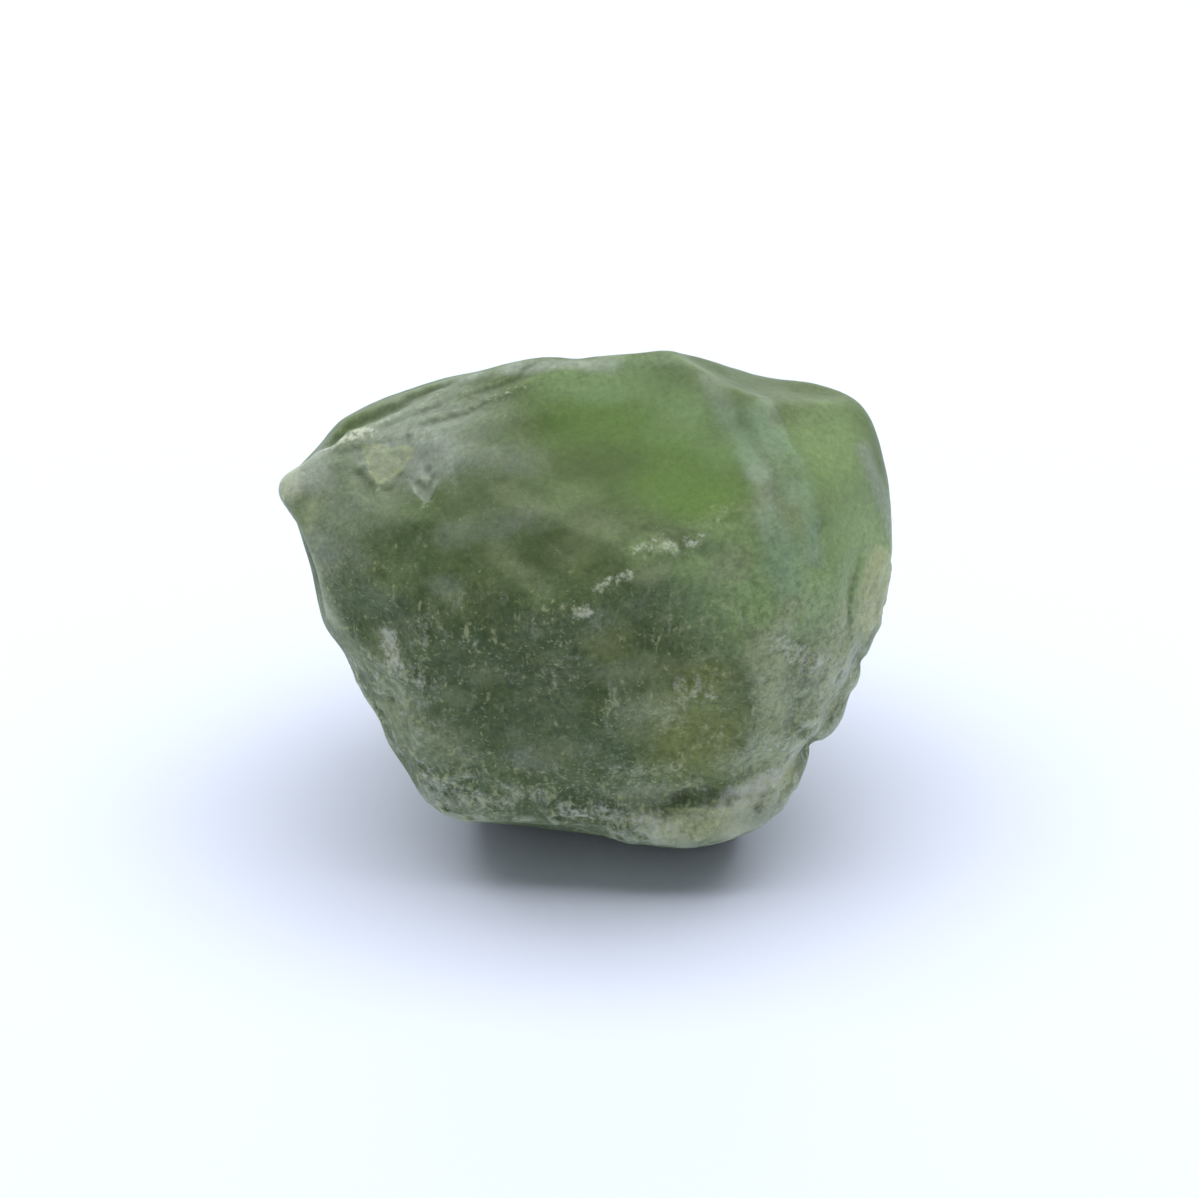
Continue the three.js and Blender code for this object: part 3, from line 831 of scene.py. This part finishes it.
def peridot_material(settings):
    """Cloudy green peridot with a clear crown, and pale frost where it is chipped."""
    shader = Shader("peridot")
    place = shader.scale(shader.node("TexCoord", output="Object"), 1 / MM)
    battered = shader.attribute("battered")

    clouds = shader.noise(place, 1.9, 4.0, 0.6, 0.6)
    mottle = shader.noise(place, 0.5, 4.0, 0.6)
    grit = shader.noise(place, 0.2, 3.0, 0.7)
    broken = shader.stray(place, 0.8, 0.3)
    low = shader.ramp(shader.height(place), 20.5, 15.5)
    rough = shader.attribute("milky") * (0.4 + 0.6 * low)

    cloudy = shader.blend(shader.ramp(clouds, 0.55, 0.35) * 0.4, settings.body, settings.deep_and_shade)
    tinted = shader.node("Attribute", {"attribute_name": "tinted"}, output="Color")
    colour = shader.vector("ADD", tinted, shader.scale(cloudy, shader.attribute("bare")))
    panel = shader.near(broken, *RIGHT_FLAKE, 0.88)
    colour = shader.blend(panel * 0.75, colour, settings.flake)
    for first, second, third, tint, fill, rim in WEDGES:
        within = shader.within(broken, first, second, third)
        pale = getattr(settings, tint)
        colour = shader.blend(shader.ramp(within, 0.0, 0.12) * fill, colour, pale)
        edge = shader.ramp(shader.maths("ABSOLUTE", within), 0.16, 0.02) * shader.ramp(mottle, 0.3, 0.65)
        colour = shader.blend(edge * rim, colour, pale)

    hue = shader.noise(place, 2.3, 3.0, 0.5)
    colour = shader.blend(shader.ramp(hue, 0.5, 0.75) * 0.2 * rough, colour, settings.olive)
    colour = shader.blend(shader.ramp(clouds, 0.52, 0.72) * 0.16 * rough, colour, settings.haze)
    colour = shader.blend(veils(shader, place) * 0.12 * rough, colour, settings.haze)
    dark = 0.16 + 0.2 * rough + 0.3 * battered
    colour = shader.blend(shader.ramp(mottle, 0.5, 0.25) * dark, colour, settings.deep_and_shade)
    colour = shader.blend(shader.ramp(mottle, 0.52, 0.8) * 0.18 * rough, colour, settings.haze)
    # Painted shade in the grooves at the foot of the ledges.
    colour = shader.blend(shader.attribute("crease_shade") * 0.6, colour, settings.deep_and_shade)
    lines = striations(shader, place) * shader.attribute("lined") * 0.3
    colour = shader.blend(lines, colour, settings.deep_and_shade)
    grain = (shader.noise(place, 0.34, 4.0, 0.75) - 0.5) * 1.6 + (grit - 0.5) * 0.8
    colour = shader.scale(colour, 1 + grain * (0.35 + 0.55 * rough))

    bruise = shader.attribute("bruised")
    density = low * 1.2 + battered * 0.6 + (shader.noise(place, 2.0, 3.0) - 0.5) * 4.0 + bruise - 0.8
    colour = shader.blend(specks(shader, place, broken, density) * rough, colour, settings.flake)
    frost = frosting(shader, place, broken, grit, density, battered)
    colour = shader.blend(frost * rough, colour, settings.frost)
    crumbs = shader.noise(place, 0.36, 5.0, 0.75)
    crumbled = shader.ramp(bruise + (crumbs - 0.5) * 3.2, 0.5, 1.3) * 0.75
    colour = shader.blend(crumbled, colour, settings.frost)

    fine = shader.noise(place, 0.12, 3.0, 0.6)
    steps = shader.cells(broken, 0.8) * (battered + 0.08)
    height = fine * 0.6 + mottle + steps * 2.0 + crumbled * 0.6
    bump = shader.node("Bump", inputs={"Strength": 0.7, "Distance": 0.035 * MM, "Height": height})
    skin = shader.node(
        "BsdfPrincipled",
        {"subsurface_method": "RANDOM_WALK"},
        {
            "Base Color": colour,
            "Roughness": 0.42 + 0.2 * mottle,
            "Normal": bump,
            "IOR": 1.5,
            "Specular IOR Level": 0.18,
            "Subsurface Weight": 1.0,
            "Subsurface Radius": (0.8, 1.0, 0.6),
            "Subsurface Scale": settings.glow_depth,
            "Sheen Weight": 0.1,
            "Sheen Roughness": 0.4,
        },
    )
    shader.node("OutputMaterial", inputs={"Surface": skin})
    return shader.material


def striations(shader, place):
    """Fine dark lines along the slabs of the left shoulder."""
    turned = shader.turn(place, (0.0, 0.33, -0.3))
    drawn = shader.vector("MULTIPLY", shader.stray(turned, 1.5, 0.25), (0.12, 1.0, 1.0))
    return shader.ramp(shader.noise(drawn, 0.35, 3.0, 0.6), 0.5, 0.68)


def veils(shader, place):
    """Soft milky veils inside the stone, in two leaning sets."""
    strength = 0.0
    for turn, pitch in (((0.3, 0.6, 0.5), 2.2), ((-0.4, -0.2, 1.3), 1.6)):
        leaning = shader.turn(place, turn)
        long = shader.vector("MULTIPLY", shader.stray(leaning, 2.0, 0.5), (0.25, 1.0, 1.0))
        depth = shader.maths("ABSOLUTE", shader.noise(long, pitch, 4.0, 0.6) - 0.5)
        cloud = shader.ramp(shader.noise(place, 3.0), 0.4, 0.6)
        strength = shader.ramp(depth, 0.09, 0.0) * cloud + strength
    return strength


def specks(shader, place, broken, density):
    """Soft pale specks of several sizes and short upright ticks, in clusters."""
    small = shader.ramp(shader.noise(place, 0.22, 2.0, 0.5) + density * 0.06, 0.63, 0.79) * 0.65
    large = shader.ramp(shader.noise(broken, 0.45, 3.0, 0.6) + density * 0.07, 0.62, 0.76) * 0.6
    drawn = shader.vector("MULTIPLY", shader.stray(place, 1.2, 0.3), (1.0, 1.0, 0.3))
    ticks = shader.ramp(shader.noise(drawn, 0.3, 1.0, 0.5) + density * 0.06, 0.68, 0.83) * 0.7
    return shader.most(small, large, ticks)


def frosting(shader, place, broken, grit, density, battered):
    """How pale the skin is from wear: worn edges, fresh breaks, flakes and scuffed patches."""
    standing = shader.attribute("standing") + shader.attribute("ridge") * 0.25
    worn = shader.ramp(standing + (grit - 0.5) * 0.15, 0.02, 0.12) * (0.15 + 0.3 * battered)
    upright = shader.vector("MULTIPLY", shader.stray(place, 1.5, 0.4), (1.0, 1.0, 0.4))
    scuffs = shader.noise(upright, 0.6, 8.0, 0.75) + density * 0.06
    scuffed = shader.ramp(scuffs, 0.55, 0.76) * (0.1 + 0.5 * grit)
    flakes = shader.ramp(shader.cells(broken, 0.8) + density * 0.15 + (grit - 0.5), 0.9, 1.4) * 0.4
    fresh = shader.ramp(shader.attribute("fresh") + (grit - 0.5) * 1.3, 0.2, 1.1) * 0.6
    return shader.most(worn, scuffed, flakes, fresh)


# ---------- The stage ----------


def table_mesh(half_width):
    """A wide flat square just under the stone."""
    table = bmesh.new()
    bmesh.ops.create_grid(table, x_segments=1, y_segments=1, size=half_width)
    bmesh.ops.translate(table, verts=table.verts, vec=(0, 0, -TABLE_GAP * MM))
    mesh = bpy.data.meshes.new("table")
    table.to_mesh(mesh)
    table.free()
    return mesh


def table_material(settings):
    """Plain pale card."""
    shader = Shader("table")
    colour = (*settings.table_colour, 1.0)
    inputs = {"Base Color": colour, "Roughness": 1.0, "Specular IOR Level": 0.0}
    card = shader.node("BsdfPrincipled", inputs=inputs)
    shader.node("OutputMaterial", inputs={"Surface": card})
    return shader.material


def add_object(name, data, collection):
    """A new object of that data, at the origin."""
    made = bpy.data.objects.new(name, data)
    collection.objects.link(made)
    return made


def look_at(thing, target):
    """Turns a lamp or camera to face a point."""
    thing.rotation_euler = (Vector(target) - thing.location).to_track_quat("-Z", "Y").to_euler()


def add_lamp(name, settings, watts, lean, width, collection):
    """A wide soft lamp that leans back from straight above the stone."""
    lamp = bpy.data.lights.new(name, "AREA")
    lamp.shape = "RECTANGLE"
    lamp.energy = watts
    lamp.size = width
    lamp.size_y = settings.lamp_depth
    placed = add_object(name, lamp, collection)
    placed.location = Vector((0, math.sin(lean), math.cos(lean))) * settings.lamp_distance
    look_at(placed, (0, 0, 0))


# ---------- Operators ----------


class PERIDOT_OT_stone(bpy.types.Operator):
    """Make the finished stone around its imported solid"""

    bl_idname = "peridot.stone"
    bl_label = "Make Stone"

    def execute(self, context):
        settings = context.scene.peridot_stone
        # Vector noise starts from the clock unless it is given a seed.
        noise.seed_set(settings.seed)
        stone = add_object("stone_skin", stone_mesh(settings), context.collection)
        paint(stone.data, settings)
        stone.data.materials.append(peridot_material(settings))
        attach(stone, "root")
        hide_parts(STONE)
        return {"FINISHED"}


class PERIDOT_OT_stage(bpy.types.Operator):
    """Make the pale table, the lights and the camera"""

    bl_idname = "peridot.stage"
    bl_label = "Make Stage"

    def execute(self, context):
        settings = context.scene.peridot_stage
        table = add_object("table", table_mesh(settings.table_width / 2), context.collection)
        table.data.materials.append(table_material(settings))

        world = bpy.data.worlds.new("sky")
        world.use_nodes = True
        sky = world.node_tree.nodes["Background"]
        sky.inputs["Color"].default_value = (1.0, 1.0, 1.0, 1.0)
        sky.inputs["Strength"].default_value = settings.sky_strength
        context.scene.world = world

        for name, watts, lean, width in (
            ("top_lamp", settings.top_power, settings.top_lean, settings.top_width),
            ("back_lamp", settings.back_power, settings.back_lean, settings.back_width),
        ):
            add_lamp(name, settings, watts, lean, width, context.collection)

        camera = add_object("camera", bpy.data.cameras.new("camera"), context.collection)
        camera.data.lens = 150
        camera.data.sensor_width = 36
        low, high = (Vector(corner) for corner in CAD_BOX)
        aim = (low + high) / 2 + Vector(AIM) * MM
        tilt = settings.camera_elevation
        camera.location = aim + Vector((0, -math.cos(tilt), math.sin(tilt))) * settings.camera_distance
        look_at(camera, aim)
        context.scene.camera = camera
        context.scene.view_settings.view_transform = "Standard"
        return {"FINISHED"}


class PERIDOT_PT_panel(bpy.types.Panel):
    """Lists what can be made and changed"""

    bl_idname = "PERIDOT_PT_panel"
    bl_label = "Raw Peridot"
    bl_space_type = "VIEW_3D"
    bl_region_type = "UI"
    bl_category = "Peridot"

    def draw(self, context):
        for settings, operator in (
            (context.scene.peridot_stone, PERIDOT_OT_stone),
            (context.scene.peridot_stage, PERIDOT_OT_stage),
        ):
            column = self.layout.column(align=True)
            for name in settings.__annotations__:
                column.prop(settings, name)
            column.operator(operator.bl_idname)


CLASSES = (StoneSettings, StageSettings, PERIDOT_OT_stone, PERIDOT_OT_stage, PERIDOT_PT_panel)


def register():
    """Registers the classes and the settings."""
    for made in CLASSES:
        bpy.utils.register_class(made)
    bpy.types.Scene.peridot_stone = PointerProperty(type=StoneSettings)
    bpy.types.Scene.peridot_stage = PointerProperty(type=StageSettings)


def unregister():
    """Takes the settings and the classes away again."""
    del bpy.types.Scene.peridot_stage
    del bpy.types.Scene.peridot_stone
    for made in reversed(CLASSES):
        bpy.utils.unregister_class(made)


def main():
    """Makes the stage and the stone."""
    register()
    bpy.ops.peridot.stage()
    bpy.ops.peridot.stone()


if __name__ == "__main__":
    main()
